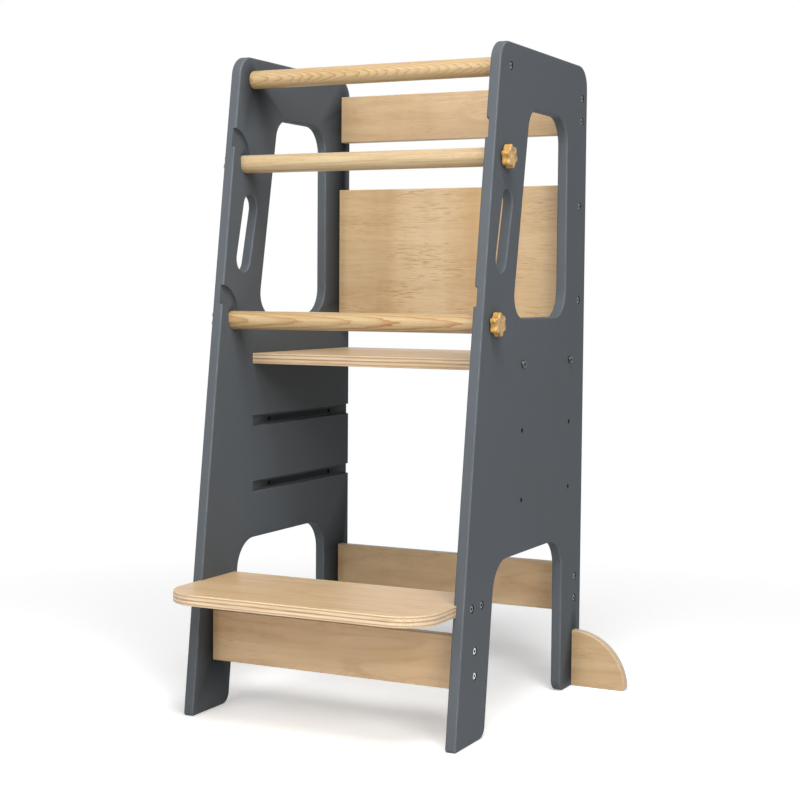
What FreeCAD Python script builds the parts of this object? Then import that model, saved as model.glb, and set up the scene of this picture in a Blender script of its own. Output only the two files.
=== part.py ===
import FreeCAD, Part
import math
import os

# Learning tower for a toddler: two side panels joined by rails, boards, a step and a platform.
# All lengths are in millimetres. +X points to the right of a person who faces the step, +Y to the
# back and +Z up. The origin lies on the floor, below the middle of the whole tower.
# "ahead" is a distance forward from the back edges of the side panels, "height" is above the floor.

# ---------------------------------------------------------------- side panels
overall_height = 900.0
outside_width = 405.0
panel_thickness = 15.0
foot_depth = 443.0              # depth of a panel at the floor
head_depth = 318.0              # depth its front edge would reach at full height
front_edge_bow = 3.0            # how far the front edge bulges past a straight line
head_corner_radius = 30.0
toe_radius = 4.0
heel_radius = 16.0              # corners of the feet that face the arch
edge_ease = 1.6                 # width of the eased edges all round a panel, its window and its cut-outs

window_top_drop = 80.0          # "drop" is a distance below the top of the panels
window_height = 278.5
window_back_post = 78.0         # width of the panel behind the window
window_front_post_top = 112.0   # width ahead of the window, at its top and bottom
window_front_post_bottom = 98.5
window_front_radius = 30.0
window_back_radius = 38.0

hand_slot_drop = 207.5          # to the upper end centre of the slot
hand_slot_rise = 73.5           # from the lower end centre to the upper one
hand_slot_setback_top = 55.0    # from the front edge to the end centres
hand_slot_setback_bottom = 47.0
hand_slot_radius = 17.0

arch_top = 224.0
front_leg_width = 91.5
back_leg_width = 79.0
arch_radius = 44.0

groove_depth = 4.5              # of every groove in the inner faces
seat_gap = 0.25                 # left between the end of a piece and the bottom of its groove
groove_play = 0.2               # above a board in its groove
overshoot = 1.0                 # how far a cut runs past the face that it opens

# ---------------------------------------------------------------- rails
rail_diameter = 25.0
top_rail_drop = 31.0
middle_rail_drop = 149.5
lower_rail_drop = 365.5
top_rail_setback = 36.0         # from the front edge to the axis
loose_rail_setback = 33.0
rail_groove_play = 0.5          # around a loose rail in its hooked groove
rail_groove_rise = 4.0          # straight way up from the seat before the groove turns forward
rail_groove_bend = 32.0         # radius of that turn, at the rail's axis

# ---------------------------------------------------------------- boards
board_thickness = 15.0
board_edge_ease = 1.0
slat_drop = 27.5
slat_height = 70.0
slat_inset = 20.5               # from the back edges to the middle of the board
backrest_gap = 72.5             # between the slat and the backrest
backrest_height = 196.0
bottom_board_bottom = 110.0
bottom_board_height = 70.0
back_board_inset = 25.5         # backrest, bottom board and stabilisers
front_board_bottom = 68.0
front_board_height = 70.0

step_top = 182.5
step_reach = 517.0              # from the back edges to the front of the step
step_depth = 182.0
step_corner_radius = 38.0

platform_depth = 288.0
platform_gap = 47.0             # between the backrest and the platform at its highest level
platform_upper_move = 89.0      # from the highest level to the middle one
platform_lower_move = 94.0      # from the middle level to the lowest
platform_bolt_insets = [58.0, 235.0]      # from the back edges

stabiliser_radius = 82.0
stabiliser_tip_radius = 6.0

# ---------------------------------------------------------------- fasteners
fastener_gap = 0.05             # radial gap around every shank and insert
stud_gap = 0.1                  # radial gap around a stud in its panel
screw_length = 50.0
screw_sink = 0.8                # how far a head lies below the panel's face
screw_head_radius = 4.8
screw_head_depth = 3.8
screw_shank_radius = 2.8
board_screw_pitch = 32.0        # between the two screws in a narrow board's end
backrest_screw_pitch = 135.0
step_screw_insets = [29.0, 60.0]          # from the step's back edge
stabiliser_screw_heights = [20.0, 54.0]
stabiliser_screw_length = 40.0

bolt_radius = 3.0
bolt_length = 25.0
bolt_head_radius = 5.25
bolt_head_height = 3.2
fastener_sides = 8              # small fasteners, studs and their holes are plain many-sided bars
platform_insert_radius = 4.5
platform_insert_length = 15.0

stud_radius = 4.0
stud_grip = 6.5                 # length of stud held in the knob
rail_insert_radius = 6.0
rail_insert_length = 15.0
insert_bore_depth = 1.0         # bore left free past the end of a stud or bolt
knob_seat_gap = 0.2             # between a tightened knob and the panel

knob_lobes = 6
knob_lobe_circle = 11.5         # radius on which the lobes are centred
knob_lobe_radius = 4.2
knob_valley_circle = 19.0       # radius on which the hollows are centred
knob_height = 12.3

# ---------------------------------------------------------------- derived places
outer_x = outside_width / 2
inner_x = outer_x - panel_thickness
seat_x = inner_x + groove_depth
piece_end_x = seat_x - seat_gap
back_y = step_reach / 2
near = 0.01                     # how close an edge lies to a place that picks it
sides = {"left": -1, "right": 1}

top_rail_height = overall_height - top_rail_drop
middle_rail_height = overall_height - middle_rail_drop
lower_rail_height = overall_height - lower_rail_drop
window_top = overall_height - window_top_drop
window_bottom = window_top - window_height
hand_slot_top = overall_height - hand_slot_drop
hand_slot_bottom = hand_slot_top - hand_slot_rise
slat_bottom = overall_height - slat_drop - slat_height
backrest_bottom = slat_bottom - backrest_gap - backrest_height
# Heights of the middle of the platform at its three levels. It stands at the highest.
platform_height = backrest_bottom - platform_gap - board_thickness / 2
middle_level = platform_height - platform_upper_move
platform_levels = [platform_height, middle_level, middle_level - platform_lower_move]


def at(x, ahead, height):
    return FreeCAD.Vector(x, back_y - ahead, height)


def front_edge(height):
    """How far ahead of the back edges the front edge lies at this height."""
    lean = foot_depth - head_depth
    chord = math.hypot(lean, overall_height)
    radius = chord ** 2 / (8 * front_edge_bow) + front_edge_bow / 2
    drop = radius - front_edge_bow
    middle_ahead = (foot_depth + head_depth) / 2 - drop * overall_height / chord
    middle_height = overall_height / 2 - drop * lean / chord
    return middle_ahead + math.sqrt(radius ** 2 - (height - middle_height) ** 2)


def line(start, end):
    return Part.LineSegment(start, end).toShape()


def arc(start, middle, end):
    return Part.Arc(start, middle, end).toShape()


def prism(edges, thickness):
    """A solid from a closed outline, thickened along +X."""
    face = Part.Face(Part.Wire(edges))
    return face.extrude(FreeCAD.Vector(thickness, 0, 0))


def polygon(points):
    return [line(a, b) for a, b in zip(points, points[1:] + points[:1])]


def edges_along_x(shape, ahead, height):
    """The edge of a prism that starts from the corner at this place."""
    found = []
    for edge in shape.Edges:
        box = edge.BoundBox
        if box.YLength < near and box.ZLength < near and box.XLength > near:
            corner = at(box.XMin, ahead, height)
            if math.hypot(box.YMin - corner.y, box.ZMin - corner.z) < near:
                found.append(edge)
    return found


def round_corners(shape, corners):
    """Rounds the corners of a prism, given as (ahead, height, radius)."""
    for ahead, height, radius in corners:
        shape = shape.makeFillet(radius, edges_along_x(shape, ahead, height))
    return shape


def ease_faces(shape, width, axis):
    """Takes the sharpness off every edge that lies flat in a face square to this axis."""
    flat = []
    for edge in shape.Edges:
        box = edge.BoundBox
        spans = {"x": box.XLength, "y": box.YLength, "z": box.ZLength}
        if spans[axis] < near and max(spans.values()) > near:
            flat.append(edge)
    return shape.makeChamfer(width, flat)


def cylinder(x_start, x_end, ahead, height, radius):
    low, high = sorted((x_start, x_end))
    return Part.makeCylinder(radius, high - low, at(low, ahead, height), FreeCAD.Vector(1, 0, 0))


def bar(radius, x_start, x_end):
    """A many-sided bar along X whose corners lie at this radius."""
    points = []
    for k in range(fastener_sides):
        angle = 2 * math.pi * k / fastener_sides
        points.append(FreeCAD.Vector(x_start, radius * math.cos(angle), radius * math.sin(angle)))
    return prism(polygon(points), x_end - x_start)


def turning_bore(radius, x_start, x_end):
    """A many-sided bore along X whose flats lie at this radius, so that a bar in it can turn."""
    return bar(radius / math.cos(math.pi / fastener_sides), x_start, x_end)


def flipped(shape):
    """The mirror image across the plane X = 0."""
    return shape.mirror(FreeCAD.Vector(0, 0, 0), FreeCAD.Vector(1, 0, 0))


def placed(shape, x, ahead, height, direction):
    """Moves a piece made along +X from the origin, and turns it to point along +X or -X."""
    copy = shape.copy() if direction > 0 else flipped(shape)
    copy.translate(at(x, ahead, height))
    return copy


# ---------------------------------------------------------------- fasteners
def screw(length, gap=0.0):
    """A sunk-head screw along +X with its head end at the origin. With a gap, the hole for it."""
    start = screw_sink if gap == 0 else -overshoot
    head_end = screw_sink + screw_head_depth
    head = bar(screw_head_radius + gap, start, head_end)
    return head.fuse(bar(screw_shank_radius + gap, head_end, length + gap))


def bolt():
    """A button-head bolt along +X, with the seat of its head at the origin."""
    return bar(bolt_head_radius, -bolt_head_height, 0).fuse(bar(bolt_radius, 0, bolt_length))


def insert(radius, length, hole):
    """A sleeve along +X with its mouth at the origin, opened by this hole."""
    return bar(radius, 0, length).cut(hole)


def pair_of(shape, x, ahead, height):
    """The same fastener from both outer faces, pointing inwards."""
    return [placed(shape, side * x, ahead, height, -side) for side in sides.values()]


# Where the screws of each piece enter the panels: (ahead, height).
front_board_ahead = front_edge(front_board_bottom + front_board_height / 2) - front_leg_width / 2
step_back = step_reach - step_depth
step_middle = step_top - board_thickness / 2
top_rail_ahead = front_edge(top_rail_height) - top_rail_setback


def two_high(ahead, bottom, height, pitch):
    middle = bottom + height / 2
    return [(ahead, middle - pitch / 2), (ahead, middle + pitch / 2)]


screw_places = {
    "top_rail_screws": [(top_rail_ahead, top_rail_height)],
    "top_slat_screws": two_high(slat_inset, slat_bottom, slat_height, board_screw_pitch),
    "backrest_screws": two_high(back_board_inset, backrest_bottom, backrest_height, backrest_screw_pitch),
    "bottom_board_screws": two_high(back_board_inset, bottom_board_bottom, bottom_board_height,
                                    board_screw_pitch),
    "front_board_screws": two_high(front_board_ahead, front_board_bottom, front_board_height,
                                   board_screw_pitch),
    "step_screws": [(step_back + inset, step_middle) for inset in step_screw_insets],
}
loose_rails = {
    "middle": (front_edge(middle_rail_height) - loose_rail_setback, middle_rail_height),
    "lower": (front_edge(lower_rail_height) - loose_rail_setback, lower_rail_height),
}
hole_maker = screw(screw_length, fastener_gap)


def with_screw_holes(shape, name):
    for ahead, height in screw_places[name]:
        for hole in pair_of(hole_maker, outer_x, ahead, height):
            shape = shape.cut(hole)
    return shape


# ---------------------------------------------------------------- side panel
def panel_blank():
    x = inner_x
    foot = at(x, foot_depth, 0)
    head = at(x, front_edge(overall_height), overall_height)
    middle = at(x, front_edge(overall_height / 2), overall_height / 2)
    outline = [arc(foot, middle, head), line(head, at(x, 0, overall_height)),
               line(at(x, 0, overall_height), at(x, 0, 0)), line(at(x, 0, 0), foot)]
    blank = prism(outline, panel_thickness)
    return round_corners(blank, [(foot_depth, 0, toe_radius),
                                 (front_edge(overall_height), overall_height, head_corner_radius),
                                 (0, overall_height, head_corner_radius), (0, 0, toe_radius)])


def window_cut():
    x = inner_x - overshoot
    front_top = front_edge(window_top) - window_front_post_top
    front_bottom = front_edge(window_bottom) - window_front_post_bottom
    corners = [at(x, front_bottom, window_bottom), at(x, front_top, window_top),
               at(x, window_back_post, window_top), at(x, window_back_post, window_bottom)]
    cut = prism(polygon(corners), panel_thickness + 2 * overshoot)
    return round_corners(cut, [(front_bottom, window_bottom, window_front_radius),
                               (front_top, window_top, window_front_radius),
                               (window_back_post, window_top, window_back_radius),
                               (window_back_post, window_bottom, window_back_radius)])


def hand_slot_cut():
    x = inner_x - overshoot
    top = (front_edge(hand_slot_top) - hand_slot_setback_top, hand_slot_top)
    bottom = (front_edge(hand_slot_bottom) - hand_slot_setback_bottom, hand_slot_bottom)
    length = math.hypot(top[0] - bottom[0], top[1] - bottom[1])
    along = ((top[0] - bottom[0]) / length, (top[1] - bottom[1]) / length)
    across = (-along[1], along[0])

    def beside(centre, forward, sideways):
        reach = hand_slot_radius
        return at(x, centre[0] + reach * (forward * along[0] + sideways * across[0]),
                  centre[1] + reach * (forward * along[1] + sideways * across[1]))

    outline = [line(beside(bottom, 0, 1), beside(top, 0, 1)),
               arc(beside(top, 0, 1), beside(top, 1, 0), beside(top, 0, -1)),
               line(beside(top, 0, -1), beside(bottom, 0, -1)),
               arc(beside(bottom, 0, -1), beside(bottom, -1, 0), beside(bottom, 0, 1))]
    return prism(outline, panel_thickness + 2 * overshoot)


def arch_cut():
    x = inner_x - overshoot
    below = -toe_radius
    front_top = front_edge(arch_top) - front_leg_width
    front_bottom = front_edge(0) - front_leg_width
    front_below = front_bottom + (front_bottom - front_top) * (0 - below) / arch_top
    corners = [at(x, front_below, below), at(x, front_top, arch_top),
               at(x, back_leg_width, arch_top), at(x, back_leg_width, below)]
    cut = prism(polygon(corners), panel_thickness + 2 * overshoot)
    return round_corners(cut, [(front_top, arch_top, arch_radius), (back_leg_width, arch_top, arch_radius)])


def rail_groove_cut(ahead, height):
    """Hooked groove: in at the front edge, round a bend and down to the rail's seat."""
    x = inner_x - overshoot
    reach = rail_diameter / 2 + rail_groove_play
    turn = height + rail_groove_rise
    bend_ahead = ahead + rail_groove_bend
    wide, tight = rail_groove_bend + reach, rail_groove_bend - reach
    slant = math.sqrt(0.5)
    out = bend_ahead + rail_diameter * 2
    outline = [
        arc(at(x, ahead - reach, height), at(x, ahead, height - reach), at(x, ahead + reach, height)),
        line(at(x, ahead + reach, height), at(x, ahead + reach, turn)),
        arc(at(x, ahead + reach, turn), at(x, bend_ahead - tight * slant, turn + tight * slant),
            at(x, bend_ahead, turn + tight)),
        line(at(x, bend_ahead, turn + tight), at(x, out, turn + tight)),
        line(at(x, out, turn + tight), at(x, out, turn + wide)),
        line(at(x, out, turn + wide), at(x, bend_ahead, turn + wide)),
        arc(at(x, bend_ahead, turn + wide), at(x, bend_ahead - wide * slant, turn + wide * slant),
            at(x, ahead - reach, turn)),
        line(at(x, ahead - reach, turn), at(x, ahead - reach, height)),
    ]
    return prism(outline, groove_depth + overshoot)


def board_groove_cut(ahead_from, ahead_to, bottom):
    corner = at(inner_x - overshoot, ahead_to, bottom)
    width = board_thickness + groove_play
    return Part.makeBox(groove_depth + overshoot, ahead_to - ahead_from, width, corner)


def side_panel():
    """The right-hand panel. The left-hand one is its mirror image."""
    panel = panel_blank().cut(window_cut()).cut(hand_slot_cut()).cut(arch_cut())
    heels = [(front_edge(0) - front_leg_width, 0, heel_radius), (back_leg_width, 0, heel_radius)]
    panel = round_corners(panel, heels)
    panel = ease_faces(panel, edge_ease, "x")
    stud_hole = bar(stud_radius + stud_gap, -overshoot, panel_thickness)
    for ahead, height in loose_rails.values():
        panel = panel.cut(rail_groove_cut(ahead, height))
        panel = panel.cut(placed(stud_hole, outer_x, ahead, height, -1))
    bolt_hole = bar(bolt_radius + fastener_gap, -overshoot, panel_thickness)
    for level in platform_levels:
        bottom = level - board_thickness / 2
        panel = panel.cut(board_groove_cut(-overshoot, platform_depth + groove_play, bottom))
        for inset in platform_bolt_insets:
            panel = panel.cut(placed(bolt_hole, outer_x, inset, level, -1))
    step_bottom = step_top - board_thickness
    panel = panel.cut(board_groove_cut(step_back - groove_play, foot_depth + overshoot, step_bottom))
    for places in screw_places.values():
        for ahead, height in places:
            panel = panel.cut(placed(hole_maker, outer_x, ahead, height, -1))
    hole = screw(stabiliser_screw_length, fastener_gap)
    for height in stabiliser_screw_heights:
        panel = panel.cut(placed(hole, inner_x, back_board_inset, height, 1))
    return panel


# ---------------------------------------------------------------- boards, step, platform
def upright_board(middle_ahead, bottom, height, screws):
    """A board between the panels, standing on its long edge."""
    corner = at(-inner_x, middle_ahead + board_thickness / 2, bottom)
    board = Part.makeBox(2 * inner_x, board_thickness, height, corner)
    long_edges = [e for e in board.Edges if e.BoundBox.XLength > inner_x]
    board = board.makeChamfer(board_edge_ease, long_edges)
    return with_screw_holes(board, screws)


def step_board():
    x = piece_end_x
    low = step_top - board_thickness
    side_front = step_reach - step_corner_radius
    slant = step_corner_radius * (1 - math.sqrt(0.5))
    run = x - step_corner_radius
    outline = [
        line(at(-x, step_back, low), at(-x, side_front, low)),
        arc(at(-x, side_front, low), at(-x + slant, step_reach - slant, low), at(-run, step_reach, low)),
        line(at(-run, step_reach, low), at(run, step_reach, low)),
        arc(at(run, step_reach, low), at(x - slant, step_reach - slant, low), at(x, side_front, low)),
        line(at(x, side_front, low), at(x, step_back, low)),
        line(at(x, step_back, low), at(-x, step_back, low)),
    ]
    board = Part.Face(Part.Wire(outline)).extrude(FreeCAD.Vector(0, 0, board_thickness))
    return with_screw_holes(ease_faces(board, board_edge_ease, "z"), "step_screws")


def platform_board():
    bottom = platform_height - board_thickness / 2
    board = Part.makeBox(2 * piece_end_x, platform_depth, board_thickness,
                         at(-piece_end_x, platform_depth, bottom))
    long_edges = [e for e in board.Edges if e.BoundBox.XLength > piece_end_x]
    board = board.makeChamfer(board_edge_ease, long_edges)
    hole = bar(platform_insert_radius + fastener_gap, -overshoot, platform_insert_length + insert_bore_depth)
    for inset in platform_bolt_insets:
        for cut in pair_of(hole, piece_end_x, inset, platform_height):
            board = board.cut(cut)
    return board


def stabiliser():
    """The right-hand quarter-round foot."""
    ahead = back_board_inset + board_thickness / 2
    slant = math.sqrt(0.5)
    corner = at(outer_x, ahead, 0)
    top = at(outer_x, ahead, stabiliser_radius)
    tip = at(outer_x + stabiliser_radius, ahead, 0)
    middle = at(outer_x + stabiliser_radius * slant, ahead, stabiliser_radius * slant)
    face = Part.Face(Part.Wire([line(corner, tip), arc(tip, middle, top), line(top, corner)]))
    foot = face.extrude(FreeCAD.Vector(0, board_thickness, 0))
    tip_edges = [e for e in foot.Edges if e.BoundBox.XMin > tip.x - near]
    foot = foot.makeFillet(stabiliser_tip_radius, tip_edges)
    outer_edges = [e for e in foot.Edges
                   if e.BoundBox.YLength < near and e.BoundBox.XMax > outer_x + near]
    foot = foot.makeChamfer(board_edge_ease, outer_edges)
    hole = screw(stabiliser_screw_length, fastener_gap)
    for height in stabiliser_screw_heights:
        foot = foot.cut(placed(hole, inner_x, back_board_inset, height, 1))
    return foot


# ---------------------------------------------------------------- rails and knobs
def top_rail():
    rail = cylinder(-inner_x, inner_x, top_rail_ahead, top_rail_height, rail_diameter / 2)
    return with_screw_holes(rail, "top_rail_screws")


def loose_rail(ahead, height):
    rail = cylinder(-piece_end_x, piece_end_x, ahead, height, rail_diameter / 2)
    hole = bar(rail_insert_radius + fastener_gap, -overshoot, rail_insert_length + insert_bore_depth)
    for cut in pair_of(hole, piece_end_x, ahead, height):
        rail = rail.cut(cut)
    return rail


def knob_outline(x):
    """Round lobes and hollows that run into each other, as arcs that touch."""
    step = math.pi / knob_lobes
    apart = math.sqrt(knob_lobe_circle ** 2 + knob_valley_circle ** 2
                      - 2 * knob_lobe_circle * knob_valley_circle * math.cos(step))
    share = knob_lobe_radius / apart
    valley_floor = knob_valley_circle - (apart - knob_lobe_radius)

    def polar(radius, angle):
        return FreeCAD.Vector(x, radius * math.cos(angle), radius * math.sin(angle))

    edges = []
    for k in range(knob_lobes):
        angle = math.pi / 2 + 2 * step * k
        lobe = polar(knob_lobe_circle, angle)
        before = lobe + (polar(knob_valley_circle, angle - step) - lobe) * share
        after = lobe + (polar(knob_valley_circle, angle + step) - lobe) * share
        next_lobe = polar(knob_lobe_circle, angle + 2 * step)
        next_before = next_lobe + (polar(knob_valley_circle, angle + step) - next_lobe) * share
        edges.append(arc(before, polar(knob_lobe_circle + knob_lobe_radius, angle), after))
        edges.append(arc(after, polar(valley_floor, angle + step), next_before))
    return edges


def star_knob():
    """A knob along +X that stands on the origin and holds its stud from below."""
    body = prism(knob_outline(0), knob_height)
    return body.cut(turning_bore(stud_radius + fastener_gap, -overshoot, stud_grip + fastener_gap))


def knob_stud():
    """The stud of a knob, along X from inside the knob to the far end of its sleeve in the rail."""
    reach = knob_seat_gap + outer_x - piece_end_x + rail_insert_length - insert_bore_depth
    return bar(stud_radius, -reach, stud_grip)


# ---------------------------------------------------------------- the whole tower
def on_both_sides(name, shape):
    return {name + "_right": shape, name + "_left": flipped(shape)}


parts = {}
parts.update(on_both_sides("side_panel", side_panel()))
parts.update(on_both_sides("stabiliser", stabiliser()))
parts["top_rail"] = top_rail()
parts["top_back_slat"] = upright_board(slat_inset, slat_bottom, slat_height, "top_slat_screws")
parts["backrest_panel"] = upright_board(back_board_inset, backrest_bottom, backrest_height,
                                        "backrest_screws")
parts["bottom_back_board"] = upright_board(back_board_inset, bottom_board_bottom,
                                           bottom_board_height, "bottom_board_screws")
parts["front_board"] = upright_board(front_board_ahead, front_board_bottom, front_board_height,
                                     "front_board_screws")
parts["step_board"] = step_board()
parts["platform"] = platform_board()

knob = star_knob()
stud = knob_stud()
stud_way = bar(stud_radius + fastener_gap, -overshoot, rail_insert_length + overshoot)
rail_insert = insert(rail_insert_radius, rail_insert_length, stud_way)
for rail_name, (ahead, height) in loose_rails.items():
    parts[rail_name + "_rail"] = loose_rail(ahead, height)
    parts[rail_name + "_rail_inserts"] = Part.Compound(pair_of(rail_insert, piece_end_x, ahead, height))
    for side_name, side in sides.items():
        knob_x = side * (outer_x + knob_seat_gap)
        parts["star_knob_" + rail_name + "_" + side_name] = placed(knob, knob_x, ahead, height, side)
        parts["knob_stud_" + rail_name + "_" + side_name] = placed(stud, knob_x, ahead, height, side)

for name, places in screw_places.items():
    screws = []
    for ahead, height in places:
        screws += pair_of(screw(screw_length), outer_x, ahead, height)
    parts[name] = Part.Compound(screws)

foot_screw = screw(stabiliser_screw_length)
stabiliser_screws = []
for height in stabiliser_screw_heights:
    for side in sides.values():
        stabiliser_screws.append(placed(foot_screw, side * inner_x, back_board_inset, height, side))
parts["stabiliser_screws"] = Part.Compound(stabiliser_screws)

bolt_way = bar(bolt_radius + fastener_gap, -overshoot, platform_insert_length + overshoot)
platform_insert = insert(platform_insert_radius, platform_insert_length, bolt_way)
bolts = []
inserts = []
for inset in platform_bolt_insets:
    bolts += pair_of(bolt(), outer_x, inset, platform_height)
    inserts += pair_of(platform_insert, piece_end_x, inset, platform_height)
parts["platform_bolts"] = Part.Compound(bolts)
parts["platform_inserts"] = Part.Compound(inserts)

os.makedirs("parts", exist_ok=True)
for name, shape in parts.items():
    shape.exportStep("parts/" + name + ".step")
    print(name, "solids", len(shape.Solids), "volume %.1f" % shape.Volume, "valid", shape.isValid())
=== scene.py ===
import math

import bmesh
import bpy
from mathutils import Matrix, Vector


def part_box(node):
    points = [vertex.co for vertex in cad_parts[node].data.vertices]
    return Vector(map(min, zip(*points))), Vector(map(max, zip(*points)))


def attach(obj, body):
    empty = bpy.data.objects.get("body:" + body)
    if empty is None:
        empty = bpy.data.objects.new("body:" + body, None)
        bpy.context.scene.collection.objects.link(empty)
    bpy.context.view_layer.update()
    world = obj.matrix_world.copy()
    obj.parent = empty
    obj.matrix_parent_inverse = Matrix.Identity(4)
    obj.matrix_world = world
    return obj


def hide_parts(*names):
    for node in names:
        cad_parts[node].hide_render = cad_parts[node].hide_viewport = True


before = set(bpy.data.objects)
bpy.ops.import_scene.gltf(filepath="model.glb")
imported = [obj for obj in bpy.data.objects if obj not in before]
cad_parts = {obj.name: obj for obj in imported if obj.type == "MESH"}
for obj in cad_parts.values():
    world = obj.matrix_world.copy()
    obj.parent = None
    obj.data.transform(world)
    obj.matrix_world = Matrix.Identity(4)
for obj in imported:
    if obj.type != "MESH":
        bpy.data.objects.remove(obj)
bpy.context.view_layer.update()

# Learning tower: painted side panels, birch boards, beech dowels, star knobs and their fasteners.
# Lengths are in metres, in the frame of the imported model: +X right, +Y back, +Z up.

print("frame loaded:", len(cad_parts), "nodes")


# ---- small helpers ----
shapeValues = {
    "weld": 0.000002,           # corners nearer than this are merged
    "cadWeld": 0.000005,
    "solidWeld": 0.000001,
    "flatDegrees": 0.1,         # CAD triangles that meet at less than this are one face
    "smoothDegrees": 35,
    "hair": 0.00001,            # places nearer than this count as the same
    "along": 0.999,             # an edge with this share of its length on an axis runs along it
    "facing": 0.99,             # and a face whose normal has this share faces it
}
chamferAngle = math.radians(25)     # edges that turn by more than this are chamfers
squareAngle = math.radians(60)      # and past this, square corners


def deselectAll():
    if bpy.context.object and bpy.context.object.mode != "OBJECT":
        bpy.ops.object.mode_set(mode="OBJECT")
    bpy.ops.object.select_all(action="DESELECT")


def pickOnly(piece):
    deselectAll()
    piece.select_set(True)
    bpy.context.view_layer.objects.active = piece


def startPiece(name):
    # The primitive that was just added becomes a named piece, with its place in its mesh.
    piece = bpy.context.object
    piece.name = name
    piece.data.name = name
    pickOnly(piece)
    bpy.ops.object.transform_apply(location=True, rotation=True, scale=True)
    return piece


def openMesh(piece, kind):
    pickOnly(piece)
    bpy.ops.object.mode_set(mode="EDIT")
    bpy.ops.mesh.select_mode(type=kind)
    bpy.ops.mesh.select_all(action="DESELECT")
    return bmesh.from_edit_mesh(piece.data)


def pickParts(piece, kind, wanted):
    form = openMesh(piece, kind)
    for part in form.edges if kind == "EDGE" else form.faces:
        if wanted(part):
            part.select_set(True)
    bmesh.update_edit_mesh(piece.data)


def roundEdges(piece, wanted, width, steps):
    pickParts(piece, "EDGE", wanted)
    bpy.ops.mesh.bevel(offset=width, segments=steps, affect="EDGES", clamp_overlap=False)
    bpy.ops.object.mode_set(mode="OBJECT")


def faceAngle(edge):
    return edge.calc_face_angle(0.0)


def isSquare(edge):
    return faceAngle(edge) > squareAngle


def runsAlong(edge, axis):
    span = edge.verts[1].co - edge.verts[0].co
    return abs(span[axis]) > shapeValues["along"] * span.length


def smoothPiece(piece, degrees=shapeValues["smoothDegrees"]):
    # Round parts shade smoothly, and wide flat faces keep their own normals.
    pickOnly(piece)
    bpy.ops.object.shade_smooth_by_angle(angle=math.radians(degrees))
    weighting = piece.modifiers.new("flatFaces", "WEIGHTED_NORMAL")
    weighting.keep_sharp = True
    bpy.ops.object.modifier_apply(modifier=weighting.name)


def faceOutwards(piece):
    openMesh(piece, "VERT")
    bpy.ops.mesh.select_all(action="SELECT")
    bpy.ops.mesh.remove_doubles(threshold=shapeValues["weld"])
    bpy.ops.mesh.normals_make_consistent(inside=False)
    bpy.ops.object.mode_set(mode="OBJECT")


def joinPieces(pieces, name):
    pickOnly(pieces[0])
    for piece in pieces[1:]:
        piece.select_set(True)
    if len(pieces) > 1:
        bpy.ops.object.join()
    pieces[0].name = name
    pieces[0].data.name = name
    return pieces[0]


def cutAway(piece, cutter):
    pickOnly(piece)
    cut = piece.modifiers.new("cut", "BOOLEAN")
    cut.object = cutter
    cut.operation = "DIFFERENCE"
    cut.solver = "EXACT"
    bpy.ops.object.modifier_apply(modifier=cut.name)
    bpy.data.objects.remove(cutter)


def copyOfNode(node, name):
    # A merged copy of a CAD node, with its flat triangles joined to whole faces.
    piece = bpy.data.objects.new(name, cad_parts[node].data.copy())
    piece.data.name = name
    piece.data.materials.clear()
    bpy.context.scene.collection.objects.link(piece)
    pickOnly(piece)
    bpy.ops.mesh.customdata_custom_splitnormals_clear()
    openMesh(piece, "VERT")
    bpy.ops.mesh.select_all(action="SELECT")
    bpy.ops.mesh.remove_doubles(threshold=shapeValues["cadWeld"])
    bpy.ops.mesh.dissolve_limited(angle_limit=math.radians(shapeValues["flatDegrees"]))
    bpy.ops.object.mode_set(mode="OBJECT")
    return piece


def partBoxes(node):
    # Lowest and highest corner of each separate solid in a CAD node.
    form = bmesh.new()
    form.from_mesh(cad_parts[node].data)
    bmesh.ops.remove_doubles(form, verts=form.verts, dist=shapeValues["solidWeld"])
    boxes = []
    waiting = set(form.verts)
    while waiting:
        queue = [waiting.pop()]
        found = []
        while queue:
            corner = queue.pop()
            found.append(corner.co.copy())
            for link in corner.link_edges:
                other = link.other_vert(corner)
                if other in waiting:
                    waiting.remove(other)
                    queue.append(other)
        low = Vector([min(place[axis] for place in found) for axis in range(3)])
        high = Vector([max(place[axis] for place in found) for axis in range(3)])
        boxes.append((low, high))
    form.free()
    return sorted(boxes, key=lambda box: tuple(box[0]))


def middleOf(box):
    return (box[0] + box[1]) / 2


def addBar(radius, sides, start, end, place):
    # A round or many-sided bar along X.
    bpy.ops.mesh.primitive_cylinder_add(vertices=sides, radius=radius, depth=abs(end - start),
                                        location=((start + end) / 2, place[1], place[2]),
                                        rotation=(0, math.pi / 2, 0))
    return bpy.context.object


def finishPiece(piece, material, body, nodes):
    piece.data.materials.clear()
    piece.data.materials.append(material)
    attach(piece, body)
    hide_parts(*nodes)


# ---- shader helpers ----
def put(tree, kind, inputs=None, **settings):
    node = tree.nodes.new(kind)
    node.location = (210 * (len(tree.nodes) % 9), -260 * (len(tree.nodes) // 9))
    for key, value in settings.items():
        setattr(node, key, value)
    for key, value in (inputs or {}).items():
        if isinstance(value, bpy.types.NodeSocket):
            tree.links.new(value, node.inputs[key])
        else:
            node.inputs[key].default_value = value
    return node


def calc(tree, operation, first, second=0.0, third=0.0):
    return put(tree, "ShaderNodeMath", {0: first, 1: second, 2: third}, operation=operation).outputs[0]


def times(tree, first, second):
    return calc(tree, "MULTIPLY", first, second)


def blendColours(tree, share, first, second, blend="MIX"):
    mixer = put(tree, "ShaderNodeMix", {0: share, 6: first, 7: second}, data_type="RGBA", blend_type=blend)
    return mixer.outputs[2]


def spread(tree, value, low, high, newLow=0.0, newHigh=1.0):
    inputs = {"Value": value, "From Min": low, "From Max": high, "To Min": newLow, "To Max": newHigh}
    return put(tree, "ShaderNodeMapRange", inputs).outputs["Result"]


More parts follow.
